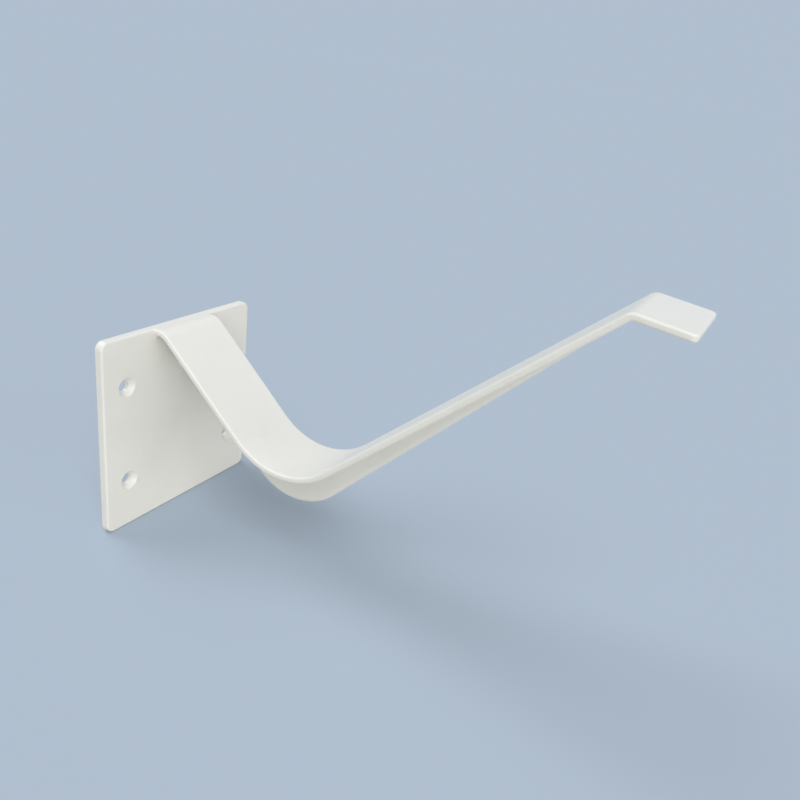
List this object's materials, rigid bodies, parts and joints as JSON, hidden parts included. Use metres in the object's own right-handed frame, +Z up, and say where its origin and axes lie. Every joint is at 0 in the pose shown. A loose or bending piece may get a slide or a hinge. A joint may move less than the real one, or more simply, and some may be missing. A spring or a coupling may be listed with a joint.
{
  "type": "gutter bracket",
  "caption": "Cast gutter bracket: a square screw-on wall plate with a flat arm that drops, turns through a wide ribbed bend and rises to a short folded tab.",
  "frame": {"origin": "centre of the wall plate's back face", "axes": "+X away from the wall, along the arm; +Y along the wall; +Z up"},
  "size_m": [0.2408, 0.1, 0.1636],
  "materials": {
    "bracket": "satin white powder coat"
  },
  "bodies": {
    "root": {"bracket": "bracket"}
  },
  "joints": []
}
